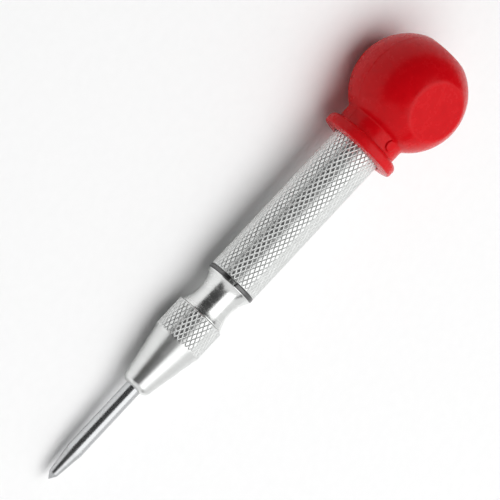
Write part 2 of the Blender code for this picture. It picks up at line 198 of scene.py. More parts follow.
class StudioSettings(bpy.types.PropertyGroup):
    """Camera, lights and floor."""

    picture_width: FloatProperty(
        name="Picture width", description="Width that the camera sees at the tool",
        default=117.6 * MM, min=0.01, unit="LENGTH",
    )
    camera_distance: FloatProperty(
        name="Camera distance", description="From the tool to the camera",
        default=1.0, min=0.2, unit="LENGTH",
    )
    camera_azimuth: FloatProperty(
        name="Camera azimuth", description="Turn about the tool from its upper flat to the camera",
        default=math.radians(-41.0), subtype="ANGLE",
    )
    camera_lead: FloatProperty(
        name="Camera lead", description="Lean of the view towards the point of the tool",
        default=math.radians(5.0), subtype="ANGLE",
    )
    axis_angle: FloatProperty(
        name="Axis angle", description="Slope of the tool's axis in the picture",
        default=math.radians(46.95), subtype="ANGLE",
    )
    aim_station: FloatProperty(
        name="Aim station", description="Station of the tool at the middle of the picture",
        default=71.5 * MM, unit="LENGTH",
    )
    aim_offset: FloatProperty(
        name="Aim offset", description="Sideways offset of the picture's middle from the axis",
        default=-2.02 * MM, unit="LENGTH",
    )
    softbox_level: FloatProperty(
        name="Softbox level", description="Brightness of the overhead softbox",
        default=1.45, min=0.0,
    )
    back_level: FloatProperty(
        name="Back level", description="Brightness of the light card behind the tool",
        default=0.75, min=0.0,
    )
    fill_level: FloatProperty(
        name="Fill level", description="Brightness of the unseen fill light overhead",
        default=0.75, min=0.0,
    )
    room_level: FloatProperty(
        name="Room level", description="Brightness of the unlit room", default=0.05, min=0.0,
    )
    floor_colour: FloatVectorProperty(
        name="Floor", description="Colour of the floor", subtype="COLOR",
        size=3, min=0.0, max=1.0, default=(0.92, 0.92, 0.92),
    )


# ---------------------------------------------------------------- node wiring

class Wiring:
    """Adds nodes to one tree. A value given to a node is a number or another node's socket."""

    def __init__(self, tree):
        self.tree = tree

    def add(self, kind, **settings):
        """Add a node and set its plain attributes."""
        node = self.tree.nodes.new(kind)
        for key, value in settings.items():
            setattr(node, key, value)
        return node

    def feed(self, socket, value):
        """Link a socket to another, or give it a constant."""
        if isinstance(value, bpy.types.NodeSocket):
            self.tree.links.new(value, socket)
        else:
            socket.default_value = value

    def calc(self, operation, *values):
        """A Math node; returns its result."""
        node = self.add("ShaderNodeMath", operation=operation)
        for socket, value in zip(node.inputs, values):
            self.feed(socket, value)
        return node.outputs[0]

    def split(self, vector):
        """The three parts of a vector."""
        node = self.add("ShaderNodeSeparateXYZ")
        self.feed(node.inputs[0], vector)
        return node.outputs

    def join(self, x, y, z):
        """A vector from three parts."""
        node = self.add("ShaderNodeCombineXYZ")
        for socket, value in zip(node.inputs, (x, y, z)):
            self.feed(socket, value)
        return node.outputs[0]

    def remap(self, value, low, high, new_low=0.0, new_high=1.0, smooth=True):
        """A clamped Map Range node; returns its result."""
        kind = "SMOOTHSTEP" if smooth else "LINEAR"
        node = self.add("ShaderNodeMapRange", interpolation_type=kind)
        for socket, item in zip(node.inputs, (value, low, high, new_low, new_high)):
            self.feed(socket, item)
        return node.outputs[0]

    def noise(self, vector, scale, detail=2.0, roughness=0.5):
        """The factor of a Noise Texture node."""
        node = self.add("ShaderNodeTexNoise")
        self.feed(node.inputs["Vector"], vector)
        self.feed(node.inputs["Scale"], scale)
        self.feed(node.inputs["Detail"], detail)
        self.feed(node.inputs["Roughness"], roughness)
        return node.outputs["Fac"]

    def blend(self, factor, first, second):
        """Mix of two colours."""
        node = self.add("ShaderNodeMix", data_type="RGBA")
        self.feed(node.inputs["Factor"], factor)
        colours = [socket for socket in node.inputs if socket.type == "RGBA"]
        self.feed(colours[0], first)
        self.feed(colours[1], second)
        return next(socket for socket in node.outputs if socket.type == "RGBA")


def new_group(name, tree_kind, inputs, outputs):
    """A node group with named sockets. Returns its wiring, its inputs and its output node."""
    tree = bpy.data.node_groups.new(name, tree_kind)
    for label, kind in inputs:
        tree.interface.new_socket(label, in_out="INPUT", socket_type=kind)
    for label, kind in outputs:
        tree.interface.new_socket(label, in_out="OUTPUT", socket_type=kind)
    wiring = Wiring(tree)
    source = wiring.add("NodeGroupInput")
    sink = wiring.add("NodeGroupOutput")
    return wiring, source.outputs, sink.inputs


# ---------------------------------------------------------------- shared surface effects

def turned_lines_group():
    """Fine rings that a lathe tool leaves round the axis. Lengths in millimetres."""
    wiring, given, result = new_group(
        "Turned Lines", "ShaderNodeTree",
        [("Vector", "NodeSocketVector"), ("Spacing", "NodeSocketFloat"),
         ("Length", "NodeSocketFloat")],
        [("Height", "NodeSocketFloat"), ("Tone", "NodeSocketFloat")],
    )
    x, y, z = wiring.split(given["Vector"])
    across = wiring.calc("DIVIDE", z, given["Spacing"])
    fine = wiring.join(
        wiring.calc("DIVIDE", x, given["Length"]), wiring.calc("DIVIDE", y, given["Length"]), across
    )
    wiring.feed(result["Height"], wiring.noise(fine, 1.0, 3.0, 0.6))
    coarse = wiring.join(
        wiring.calc("DIVIDE", x, given["Length"]),
        wiring.calc("DIVIDE", y, given["Length"]),
        wiring.calc("MULTIPLY", across, 0.17),
    )
    wiring.feed(result["Tone"], wiring.noise(coarse, 1.0, 4.0, 0.65))
    return wiring.tree


def edge_wear_group():
    """Bright broken wear where the Edge mask marks an outer edge; on the red cap the mask also holds
    the side flats' rims, where it lays a painted highlight.
    """
    wiring, given, result = new_group(
        "Edge Wear", "ShaderNodeTree",
        [("Vector", "NodeSocketVector"), ("Edge", "NodeSocketFloat"),
         ("Grain", "NodeSocketFloat"), ("Amount", "NodeSocketFloat")],
        [("Mask", "NodeSocketFloat")],
    )
    scale = wiring.calc("DIVIDE", 1.0, given["Grain"])
    patchy = wiring.noise(given["Vector"], scale, 3.0, 0.6)
    level = wiring.calc("MULTIPLY", given["Edge"], wiring.calc("ADD", patchy, 0.35))
    worn = wiring.remap(level, 0.35, 0.75)
    wiring.feed(result["Mask"], wiring.calc("MULTIPLY", worn, given["Amount"]))
    return wiring.tree


def handling_group():
    """Faint cloudy film that hands leave, strongest in patches of the given size."""
    wiring, given, result = new_group(
        "Handling Film", "ShaderNodeTree",
        [("Vector", "NodeSocketVector"), ("Size", "NodeSocketFloat"),
         ("Amount", "NodeSocketFloat")],
        [("Mask", "NodeSocketFloat")],
    )
    scale = wiring.calc("DIVIDE", 1.0, given["Size"])
    cloud = wiring.noise(given["Vector"], scale, 4.0, 0.6)
    streak = wiring.noise(given["Vector"], wiring.calc("MULTIPLY", scale, 7.0), 2.0, 0.5)
    both = wiring.calc("MULTIPLY", wiring.remap(cloud, 0.42, 0.66), wiring.remap(streak, 0.3, 0.7))
    wiring.feed(result["Mask"], wiring.calc("MULTIPLY", both, given["Amount"]))
    return wiring.tree


def moulded_skin_group():
    """Slightly uneven skin of a moulding: a soft sink, fine orange peel and faint flow marks."""
    wiring, given, result = new_group(
        "Moulded Skin", "ShaderNodeTree",
        [("Vector", "NodeSocketVector"), ("Peel", "NodeSocketFloat")],
        [("Height", "NodeSocketFloat"), ("Tone", "NodeSocketFloat")],
    )
    scale = wiring.calc("DIVIDE", 1.0, given["Peel"])
    peel = wiring.noise(given["Vector"], scale, 2.0, 0.5)
    sink = wiring.noise(given["Vector"], wiring.calc("MULTIPLY", scale, 0.12), 1.0, 0.5)
    wiring.feed(
        result["Height"],
        wiring.calc("ADD", wiring.calc("MULTIPLY", peel, 0.35), sink),
    )
    wiring.feed(result["Tone"], wiring.noise(given["Vector"], wiring.calc("MULTIPLY", scale, 0.3)))
    return wiring.tree


EFFECTS = {
    "Turned Lines": turned_lines_group,
    "Edge Wear": edge_wear_group,
    "Handling Film": handling_group,
    "Moulded Skin": moulded_skin_group,
}


def effect(wiring, name, **values):
    """Place a shared effect in a material and give its inputs; underscores stand for spaces."""
    node = wiring.add("ShaderNodeGroup")
    node.node_tree = bpy.data.node_groups.get(name) or EFFECTS[name]()
    for label, value in values.items():
        wiring.feed(node.inputs[label.replace("_", " ")], value)
    return node.outputs


# ---------------------------------------------------------------- materials

def begin_material(name):
    """A Principled material. Returns it, its wiring, its shader and millimetres in the tool's
    frame."""
    material = bpy.data.materials.new(name)
    material.use_nodes = True
    wiring = Wiring(material.node_tree)
    shader = material.node_tree.nodes["Principled BSDF"]
    place = wiring.add("ShaderNodeMapping", vector_type="TEXTURE")
    wiring.feed(place.inputs["Vector"], wiring.add("ShaderNodeTexCoord").outputs["Object"])
    place.inputs["Location"].default_value = TOOL.translation
    place.inputs["Rotation"].default_value = TOOL.to_euler()
    place.inputs["Scale"].default_value = (MM, MM, MM)
    return material, wiring, shader, place.outputs["Vector"]


def mesh_value(wiring, name):
    """A number stored on the mesh."""
    return wiring.add("ShaderNodeAttribute", attribute_name=name).outputs["Fac"]


def set_bump(wiring, shader, height, distance, strength=1.0):
    """Feed a height in its own units to the shader's normal; distance is in metres."""
    bump = wiring.add("ShaderNodeBump")
    bump.inputs["Strength"].default_value = strength
    bump.inputs["Distance"].default_value = distance
    wiring.feed(bump.inputs["Height"], height)
    wiring.feed(shader.inputs["Normal"], bump.outputs["Normal"])


def rgba(colour, factor=1.0):
    """A colour with alpha, darkened or lightened by a factor."""
    return (*(min(1.0, part * factor) for part in colour), 1.0)


def turned_metal(name, colour, roughness, spacing=0.08, depth=0.004, wear=0.6, film=0.12):
    """Bare metal off the lathe: fine rings, polished edges and a trace of handling."""
    material, wiring, shader, place = begin_material(name)
    shader.inputs["Metallic"].default_value = 1.0
    lines = effect(wiring, "Turned Lines", Vector=place, Spacing=spacing, Length=9.0)
    worn = effect(
        wiring, "Edge Wear", Vector=place, Edge=mesh_value(wiring, "edge"), Grain=0.5, Amount=wear
    )["Mask"]
    hands = effect(wiring, "Handling Film", Vector=place, Size=6.0, Amount=film)["Mask"]
    base = wiring.blend(lines["Tone"], rgba(colour, 0.88), rgba(colour, 1.08))
    wiring.feed(shader.inputs["Base Color"], wiring.blend(worn, base, rgba(colour, 1.15)))
    rough = wiring.remap(lines["Tone"], 0.3, 0.7, 0.75 * roughness, 1.25 * roughness, smooth=False)
    rough = wiring.calc("ADD", rough, hands)
    rough = wiring.calc("MULTIPLY", rough, wiring.remap(worn, 0.0, 1.0, 1.0, 0.7, smooth=False))
    wiring.feed(shader.inputs["Roughness"], rough)
    set_bump(wiring, shader, lines["Height"], depth * MM)
    return material


def rolled_aluminium():
    """Rolled knurl: bright flats and crests, duller grey valleys darkened by painted shade and a
    little dirt.
    """
    colour = bpy.context.scene.punch_metal.aluminium
    material, wiring, shader, place = begin_material("rolled_aluminium")
    shader.inputs["Metallic"].default_value = 1.0
    valley = mesh_value(wiring, "valley")
    # Painted shade with a little dirt: the knurl's valleys are darkened in patches.
    valley_shade_and_dirt = wiring.calc(
        "MULTIPLY", wiring.remap(valley, 0.35, 1.0), wiring.remap(wiring.noise(place, 0.6), 0.3, 0.6)
    )
    lines = effect(wiring, "Turned Lines", Vector=place, Spacing=0.12, Length=3.0)
    worn = effect(
        wiring, "Edge Wear", Vector=place, Edge=mesh_value(wiring, "edge"), Grain=0.4, Amount=0.8
    )["Mask"]
    hands = effect(wiring, "Handling Film", Vector=place, Size=5.0, Amount=0.10)["Mask"]
    base = wiring.blend(lines["Tone"], rgba(colour, 0.88), rgba(colour, 1.0))
    # Darken the valleys towards a greyer tone: painted shade and dirt.
    base = wiring.blend(valley_shade_and_dirt, base, rgba(colour, 0.72))
    wiring.feed(shader.inputs["Base Color"], wiring.blend(worn, base, rgba(colour, 1.12)))
    rough = wiring.remap(valley, 0.0, 0.5, 0.30, 0.48, smooth=False)
    wiring.feed(shader.inputs["Roughness"], wiring.calc("ADD", rough, hands))
    set_bump(wiring, shader, wiring.noise(place, 9.0, 3.0, 0.6), 0.006 * MM)
    return material


def plated_steel():
    """Plated pin: nearly a mirror, with ground rings on the point, where the plate is worn."""
    colour = bpy.context.scene.punch_metal.chrome
    material, wiring, shader, place = begin_material("plated_steel")
    shader.inputs["Metallic"].default_value = 1.0
    station = wiring.split(place)[2]
    point = wiring.remap(station, 7.5, 9.5, 1.0, 0.0)
    tip = wiring.remap(station, 1.2, 2.4, 1.0, 0.0)
    lines = effect(wiring, "Turned Lines", Vector=place, Spacing=0.10, Length=5.0)
    hands = effect(wiring, "Handling Film", Vector=place, Size=4.0, Amount=0.05)["Mask"]
    plate = wiring.blend(lines["Tone"], rgba(colour, 0.96), rgba(colour, 1.03))
    ground = wiring.blend(lines["Tone"], rgba(colour, 0.70), rgba(colour, 1.10))
    wiring.feed(shader.inputs["Base Color"], wiring.blend(point, plate, ground))
    rough = wiring.remap(point, 0.0, 1.0, 0.25, 0.28, smooth=False)
    rough = wiring.calc("ADD", rough, wiring.remap(tip, 0.0, 1.0, 0.0, 0.22, smooth=False))
    wiring.feed(shader.inputs["Roughness"], wiring.calc("ADD", rough, hands))
    height = wiring.calc("MULTIPLY", lines["Height"], wiring.calc("ADD", point, 0.12))
    set_bump(wiring, shader, height, 0.004 * MM)
    return material


def oxide_black():
    """Black spring wire: dark, satin, with paler drawing marks and rubbed ends."""
    colour = bpy.context.scene.punch_metal.black_steel
    material, wiring, shader, place = begin_material("oxide_black")
    shader.inputs["Metallic"].default_value = 1.0
    grain = wiring.noise(place, 4.0, 4.0, 0.65)
    worn = effect(
        wiring, "Edge Wear", Vector=place, Edge=mesh_value(wiring, "edge"), Grain=0.3, Amount=0.5
    )["Mask"]
    base = wiring.blend(grain, rgba(colour, 0.55), rgba(colour, 1.35))
    wiring.feed(shader.inputs["Base Color"], wiring.blend(worn, base, rgba(colour, 2.2)))
    wiring.feed(shader.inputs["Roughness"], wiring.remap(grain, 0.3, 0.7, 0.22, 0.40))
    set_bump(wiring, shader, grain, 0.004 * MM)
    return material


def spring_wire():
    """Drawn spring wire with fine marks along it."""
    colour = bpy.context.scene.punch_metal.steel
    material, wiring, shader, place = begin_material("spring_wire")
    shader.inputs["Metallic"].default_value = 1.0
    grain = wiring.noise(place, 5.0, 4.0, 0.6)
    hands = effect(wiring, "Handling Film", Vector=place, Size=3.0, Amount=0.15)["Mask"]
    wiring.feed(
        shader.inputs["Base Color"], wiring.blend(grain, rgba(colour, 0.62), rgba(colour, 0.95))
    )
    wiring.feed(
        shader.inputs["Roughness"],
        wiring.calc("ADD", wiring.remap(grain, 0.3, 0.7, 0.26, 0.40), hands),
    )
    set_bump(wiring, shader, grain, 0.003 * MM)
    return material


def moulded_red():
    """Moulded red plastic: semi-gloss, faint flow marks, edges rubbed a little paler, and a painted
    highlight along the side flats' rims.
    """
    colour = bpy.context.scene.punch_cap.colour
    material, wiring, shader, place = begin_material("moulded_red")
    shader.inputs["Specular IOR Level"].default_value = 0.14
    skin = effect(wiring, "Moulded Skin", Vector=place, Peel=0.55)
    hands = effect(wiring, "Handling Film", Vector=place, Size=7.0, Amount=0.05)["Mask"]
    # The edge mask holds the rubbed edges and also the side flats' rims, so the paler red is wear plus
    # a painted highlight along those rims.
    worn = effect(
        wiring, "Edge Wear", Vector=place, Edge=mesh_value(wiring, "edge"), Grain=0.9, Amount=0.10
    )["Mask"]
    base = wiring.blend(skin["Tone"], rgba(colour, 0.90), rgba(colour, 1.10))
    # Paler red: the colour of the rubbed edges and of the painted highlight on the flats' rims.
    pale = (min(1.0, colour[0] * 1.35), colour[1] + 0.05, colour[2] + 0.05, 1.0)
    wiring.feed(shader.inputs["Base Color"], wiring.blend(worn, base, pale))
    rough = wiring.remap(skin["Tone"], 0.3, 0.7, 0.20, 0.28)
    wiring.feed(shader.inputs["Roughness"], wiring.calc("ADD", rough, hands))
    set_bump(wiring, shader, skin["Height"], 0.004 * MM)
    return material


def polished_aluminium():
    """Polished aluminium of the nose cone and the neck."""
    return turned_metal(
        "polished_aluminium", bpy.context.scene.punch_metal.aluminium, 0.24, 0.20, 0.005, 0.6, 0.04
    )


def hardened_steel():
    """Ground and hardened steel of the inner pieces."""
    return turned_metal("hardened_steel", bpy.context.scene.punch_metal.steel, 0.30, 0.06, 0.004)


def screw_brass():
    """Machined brass of the adjusting screw."""
    return turned_metal("screw_brass", bpy.context.scene.punch_metal.brass, 0.26, 0.07, 0.004)


def floor_paper():
    """Pale seamless paper with a very faint grain."""
    colour = bpy.context.scene.punch_studio.floor_colour
    material = bpy.data.materials.new("floor_paper")
    material.use_nodes = True
    wiring = Wiring(material.node_tree)
    shader = material.node_tree.nodes["Principled BSDF"]
    shader.inputs["Roughness"].default_value = 0.9
    shader.inputs["Specular IOR Level"].default_value = 0.2
    place = wiring.add("ShaderNodeTexCoord").outputs["Object"]
    grain = wiring.noise(place, 400.0, 2.0, 0.5)
    wiring.feed(
        shader.inputs["Base Color"], wiring.blend(grain, rgba(colour, 0.985), rgba(colour, 1.015))
    )
    return material


MATERIALS = {
    "polished_aluminium": polished_aluminium,
    "rolled_aluminium": rolled_aluminium,
    "plated_steel": plated_steel,
    "oxide_black": oxide_black,
    "spring_wire": spring_wire,
    "hardened_steel": hardened_steel,
    "screw_brass": screw_brass,
    "moulded_red": moulded_red,
    "floor_paper": floor_paper,
}


def material_named(name):
    """Fetch a material, making it the first time."""
    return bpy.data.materials.get(name) or MATERIALS[name]()


# ---------------------------------------------------------------- turned shapes

def arc(centre_r, centre_z, radius, start_deg, end_deg, segments):
    """Plain profile points on an arc, angles from the +r direction towards +z."""
    points = []
    for i in range(segments + 1):
        angle = math.radians(start_deg + (end_deg - start_deg) * i / segments)
        points.append((centre_r + radius * math.cos(angle), centre_z + radius * math.sin(angle), 0.0))
    return points


def soften(corners, segments=3):
    """Round the corners of a profile.

    A corner is (r, z) or (r, z, radius). The result is a list of (r, z, edge), where edge is
    1 on a rounded outer corner and 0 elsewhere.
    """
    points = []
    count = len(corners)
    for i, corner in enumerate(corners):
        here = Vector(corner[:2])
        radius = corner[2] if len(corner) > 2 else 0.0
        if radius == 0.0 or i in (0, count - 1):
            points.append((here.x, here.y, 0.0))
            continue
        back = (Vector(corners[i - 1][:2]) - here).normalized()
        ahead = (Vector(corners[i + 1][:2]) - here).normalized()
        half = back.angle(ahead) / 2
        reach = radius / math.tan(half)
        centre = here + (back + ahead).normalized() * radius / math.sin(half)
        start = here + back * reach - centre
        sweep = start.angle_signed(here + ahead * reach - centre)
        for step in range(segments + 1):
            spoke = start.copy()
            spoke.rotate(Matrix.Rotation(-sweep * step / segments, 2))
            points.append((centre.x + spoke.x, centre.y + spoke.y, 1.0))
    return points


def even_azimuths(columns):
    """Evenly spaced angles round the axis."""
    return [math.tau * i / columns for i in range(columns)]


def lathe(name, profile, azimuths):
    """Turn a profile of (r, z, edge) points about the tool's axis into a closed mesh.

    The profile runs down the outer side and back up the bore. It may touch the axis at its
    two ends, where the rows shrink to a point; otherwise it is closed on itself.
    """
    bm = bmesh.new()
    edge_layer = bm.verts.layers.float.new("edge")
    rows = []
    for r, z, edge in profile:
        if r < 1e-7:
            vertex = bm.verts.new((0.0, 0.0, z))
            rows.append([vertex] * len(azimuths))
            continue
        row = []
        for angle in azimuths:
            vertex = bm.verts.new((r * math.cos(angle), r * math.sin(angle), z))
            vertex[edge_layer] = edge
            row.append(vertex)
        rows.append(row)
    on_axis = profile[0][0] < 1e-7
    pairs = list(zip(rows, rows[1:]))
    if not on_axis:
        pairs.append((rows[-1], rows[0]))
    for upper, lower in pairs:
        for i in range(len(azimuths)):
            k = (i + 1) % len(azimuths)
            loop = [upper[i], lower[i], lower[k], upper[k]]
            corners = list(dict.fromkeys(loop))
            if len(corners) > 2:
                bm.faces.new(corners)
    mesh = bpy.data.meshes.new(name)
    bm.to_mesh(mesh)
    bm.free()
    piece = bpy.data.objects.new(name, mesh)
    bpy.context.scene.collection.objects.link(piece)
    return piece


def rows_between(start, end, step, radius):
    """Rows of a plain cylinder from end down to start, one lattice step apart."""
    count = int((end - start) / step + 1e-6)
    stations = [start + step * i for i in range(count + 1)]
    if end - stations[-1] > 0.2 * step:
        stations.append(end)
    else:
        stations[-1] = end
    return [(radius, z, 0.0) for z in reversed(stations)]


# ---------------------------------------------------------------- geometry nodes

def helical_grooves_tree():
    """Cuts V grooves along helices into the skin of a round body: a knurl or a thread."""
    name = "Helical Grooves"
    if name in bpy.data.node_groups:
        return bpy.data.node_groups[name]
    wiring, given, result = new_group(
        name, "GeometryNodeTree",
        [("Geometry", "NodeSocketGeometry"), ("Starts", "NodeSocketFloat"),
         ("Axial Pitch", "NodeSocketFloat"), ("Depth", "NodeSocketFloat"),
         ("Groove Share", "NodeSocketFloat"), ("Left Hand Too", "NodeSocketFloat"),
         ("Start", "NodeSocketFloat"), ("End", "NodeSocketFloat"),
         ("Run Out", "NodeSocketFloat"), ("Skin Radius", "NodeSocketFloat"),
         ("Material", "NodeSocketMaterial")],
        [("Geometry", "NodeSocketGeometry")],
    )
    x, y, z = wiring.split(wiring.add("GeometryNodeInputPosition").outputs[0])
    radius = wiring.calc("SQRT", wiring.calc("ADD", wiring.calc("MULTIPLY", x, x),
                                             wiring.calc("MULTIPLY", y, y)))
    turns = wiring.calc("DIVIDE", wiring.calc("ARCTAN2", y, x), math.tau)
    turns = wiring.calc("MULTIPLY", turns, given["Starts"])
    rise = wiring.calc("DIVIDE", wiring.calc("SUBTRACT", z, given["Start"]), given["Axial Pitch"])
    half_share = wiring.calc("MULTIPLY", given["Groove Share"], 0.5)

    def groove(phase):
        """Distance from the middle of the nearest groove, in pitches, and the share of its depth."""
        away = wiring.calc("PINGPONG", phase, 0.5)
        depth = wiring.calc("SUBTRACT", 1.0, wiring.calc("DIVIDE", away, half_share))
        return away, wiring.calc("MAXIMUM", depth, 0.0)

    right_away, right = groove(wiring.calc("SUBTRACT", turns, rise))
    left_away, left = groove(wiring.calc("ADD", turns, rise))
    left = wiring.calc("MULTIPLY", left, given["Left Hand Too"])
    deepest = wiring.calc("MAXIMUM", right, left)
    last = wiring.calc("SUBTRACT", given["End"], given["Run Out"])
    first = wiring.calc("ADD", given["Start"], given["Run Out"])
    fade = wiring.calc(
        "MULTIPLY",
        wiring.remap(z, given["Start"], first, 0.0, 1.0, smooth=False),
        wiring.remap(z, last, given["End"], 1.0, 0.0, smooth=False),
    )
    skin = wiring.calc("GREATER_THAN", radius, given["Skin Radius"])
    inside = wiring.calc(
        "MULTIPLY",
        wiring.calc("GREATER_THAN", z, wiring.calc("SUBTRACT", given["Start"], 1e-6)),
        wiring.calc("LESS_THAN", z, wiring.calc("ADD", given["End"], 1e-6)),
    )
    cut = wiring.calc("MULTIPLY", wiring.calc("MULTIPLY", skin, inside), fade)
    cut = wiring.calc("MULTIPLY", cut, deepest)
    share = wiring.calc(
        "DIVIDE", wiring.calc("MULTIPLY", wiring.calc("MULTIPLY", cut, given["Depth"]), -1.0), radius
    )
    move = wiring.join(
        wiring.calc("MULTIPLY", x, share), wiring.calc("MULTIPLY", y, share), 0.0
    )
    store = wiring.add("GeometryNodeStoreNamedAttribute", data_type="FLOAT", domain="POINT")
    wiring.feed(store.inputs["Geometry"], given["Geometry"])
    wiring.feed(store.inputs["Name"], "valley")
    wiring.feed(store.inputs["Value"], cut)
    shift = wiring.add("GeometryNodeSetPosition")
    wiring.feed(shift.inputs["Geometry"], store.outputs["Geometry"])
    wiring.feed(shift.inputs["Offset"], move)
    # Quads are split along the nearer groove, so that every groove runs clean.
    near_right = wiring.calc("LESS_THAN", right_away, left_away)
    near_right = wiring.calc("MULTIPLY", inside, near_right)
    along_right = wiring.add("GeometryNodeTriangulate")
    along_left = wiring.add("GeometryNodeTriangulate")
    for node, method in ((along_right, "FIXED_ALTERNATE"), (along_left, "FIXED")):
        if hasattr(node, "quad_method"):
            node.quad_method = method
        else:
            node.inputs["Quad Method"].default_value = method.replace("_", " ").title()
    wiring.feed(along_right.inputs[0], shift.outputs["Geometry"])
    wiring.feed(along_right.inputs["Selection"], near_right)
    wiring.feed(along_left.inputs[0], along_right.outputs[0])
    wiring.feed(along_left.inputs["Selection"], inside)
    realize = wiring.add("GeometryNodeRealizeInstances")
    wiring.feed(realize.inputs[0], along_left.outputs[0])
    paint = wiring.add("GeometryNodeSetMaterial")
    wiring.feed(paint.inputs["Geometry"], realize.outputs[0])
    wiring.feed(paint.inputs["Material"], given["Material"])
    wiring.feed(result["Geometry"], paint.outputs[0])
    return wiring.tree


def coil_tree():
    """Winds a compression spring with closed ends from a straight line of points."""
    name = "Compression Spring"
    if name in bpy.data.node_groups:
        return bpy.data.node_groups[name]
    wiring, given, result = new_group(
        name, "GeometryNodeTree",
        [("Coil Radius", "NodeSocketFloat"), ("Wire Radius", "NodeSocketFloat"),
         ("Start", "NodeSocketFloat"), ("End", "NodeSocketFloat"), ("Turns", "NodeSocketFloat"),
         ("Points", "NodeSocketInt"), ("Material", "NodeSocketMaterial")],
        [("Geometry", "NodeSocketGeometry")],
    )
    line = wiring.add("GeometryNodeMeshLine")
    wiring.feed(line.inputs["Count"], given["Points"])
    index = wiring.add("GeometryNodeInputIndex").outputs[0]
    share = wiring.calc("DIVIDE", index, wiring.calc("SUBTRACT", given["Points"], 1.0))
    turn = wiring.calc("MULTIPLY", share, given["Turns"])
    bottom = wiring.calc("ADD", given["Start"], given["Wire Radius"])
    top = wiring.calc("SUBTRACT", given["End"], given["Wire Radius"])
    closed = wiring.calc("MULTIPLY", given["Wire Radius"], 2.3)
    open_turns = wiring.calc("SUBTRACT", given["Turns"], 2.0)
    free = wiring.calc(
        "SUBTRACT", wiring.calc("SUBTRACT", top, bottom), wiring.calc("MULTIPLY", closed, 2.0)
    )
    lead = wiring.calc("DIVIDE", free, open_turns)
    first = wiring.calc("MINIMUM", turn, 1.0)
    middle = wiring.calc(
        "MINIMUM", wiring.calc("MAXIMUM", wiring.calc("SUBTRACT", turn, 1.0), 0.0), open_turns
    )
    last = wiring.calc(
        "MAXIMUM", wiring.calc("SUBTRACT", turn, wiring.calc("SUBTRACT", given["Turns"], 1.0)), 0.0
    )
    z = wiring.calc("ADD", bottom, wiring.calc("MULTIPLY", closed, wiring.calc("ADD", first, last)))
    z = wiring.calc("ADD", z, wiring.calc("MULTIPLY", lead, middle))
    angle = wiring.calc("MULTIPLY", turn, math.tau)
    place = wiring.join(
        wiring.calc("MULTIPLY", wiring.calc("COSINE", angle), given["Coil Radius"]),
        wiring.calc("MULTIPLY", wiring.calc("SINE", angle), given["Coil Radius"]),
        z,
    )
    bend = wiring.add("GeometryNodeSetPosition")
    wiring.feed(bend.inputs["Geometry"], line.outputs[0])
    wiring.feed(bend.inputs["Position"], place)
    curve = wiring.add("GeometryNodeMeshToCurve")
    wiring.feed(curve.inputs[0], bend.outputs[0])
    section = wiring.add("GeometryNodeCurvePrimitiveCircle")
    wiring.feed(section.inputs["Resolution"], 14)
    wiring.feed(section.inputs["Radius"], given["Wire Radius"])
    sweep = wiring.add("GeometryNodeCurveToMesh")
    wiring.feed(sweep.inputs["Curve"], curve.outputs[0])
    wiring.feed(sweep.inputs["Profile Curve"], section.outputs[0])
    wiring.feed(sweep.inputs["Fill Caps"], True)
    smooth = wiring.add("GeometryNodeSetShadeSmooth")
    wiring.feed(smooth.inputs[0], sweep.outputs[0])
    realize = wiring.add("GeometryNodeRealizeInstances")
    wiring.feed(realize.inputs[0], smooth.outputs[0])
    paint = wiring.add("GeometryNodeSetMaterial")
    wiring.feed(paint.inputs["Geometry"], realize.outputs[0])
    wiring.feed(paint.inputs["Material"], given["Material"])
    wiring.feed(result["Geometry"], paint.outputs[0])
    return wiring.tree


def add_tree(piece, tree, **values):
    """Put a geometry node tree on a piece and give its inputs; underscores stand for spaces."""
    modifier = piece.modifiers.new(tree.name, "NODES")
    modifier.node_group = tree
    sockets = {item.name: item.identifier for item in tree.interface.items_tree
               if item.in_out == "INPUT"}
    for label, value in values.items():
        modifier[sockets[label.replace("_", " ")]] = value
    return modifier


# ---------------------------------------------------------------- finishing a piece

def settle(piece):
    """Replace a piece's mesh with its evaluated result and drop its modifiers."""
    depsgraph = bpy.context.evaluated_depsgraph_get()
    depsgraph.update()
    mesh = bpy.data.meshes.new_from_object(
        piece.evaluated_get(depsgraph), preserve_all_data_layers=True, depsgraph=depsgraph
    )
    if piece.type != "MESH":
        name = piece.name
        bpy.data.objects.remove(piece)
        piece = bpy.data.objects.new(name, mesh)
        bpy.context.scene.collection.objects.link(piece)
        return piece
    piece.modifiers.clear()
    piece.data = mesh
    return piece


def present(piece, node, material=None):
    """Set a finished piece down in the model's frame in place of a node of the model."""
    mesh = piece.data
    if material:
        mesh.materials.clear()
        mesh.materials.append(material_named(material))
    mesh.transform(TOOL)
    bm = bmesh.new()
    bm.from_mesh(mesh)
    if bm.calc_volume(signed=True) < 0.0:
        bmesh.ops.reverse_faces(bm, faces=bm.faces)
    bm.to_mesh(mesh)
    bm.free()
    mesh.shade_smooth()
    mesh.set_sharp_from_angle(angle=SHARP_ANGLE)
    body = frame["nodes"][node]["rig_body"]
    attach(piece, body)
    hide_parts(node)


class PieceOperator:
    """Common part of the operators: they build, and raise when they can't."""

    bl_options = {"REGISTER", "UNDO"}

    def execute(self, context):
        """Build the piece."""
        self.build(context.scene)
        return {"FINISHED"}


# ---------------------------------------------------------------- the pieces

class PUNCH_OT_pin(PieceOperator, bpy.types.Operator):
    """Make the plated pin with its ground point and its hidden collar"""

    bl_idname = "punch.pin"
    bl_label = "Punch Pin"

    def build(self, scene):
        """Turn the pin."""
        start, end, collar = extent("punch_pin")
        pin = 2.08 * MM
        shoulder = end - 3.0 * MM
        profile = soften([
            (0.0, end),
            (collar, end, 0.3 * MM),
            (collar, shoulder, 0.1 * MM),
            (pin, shoulder),
            (pin, start + 9.0 * MM, 3.0 * MM),
            (1.17 * MM, start + 1.7 * MM, 0.25 * MM),
            (0.10 * MM, start, 0.05 * MM),
            (0.0, start),
        ], 4)
        present(lathe("pin", profile, even_azimuths(FINE_COLUMNS)), "punch_pin", "plated_steel")


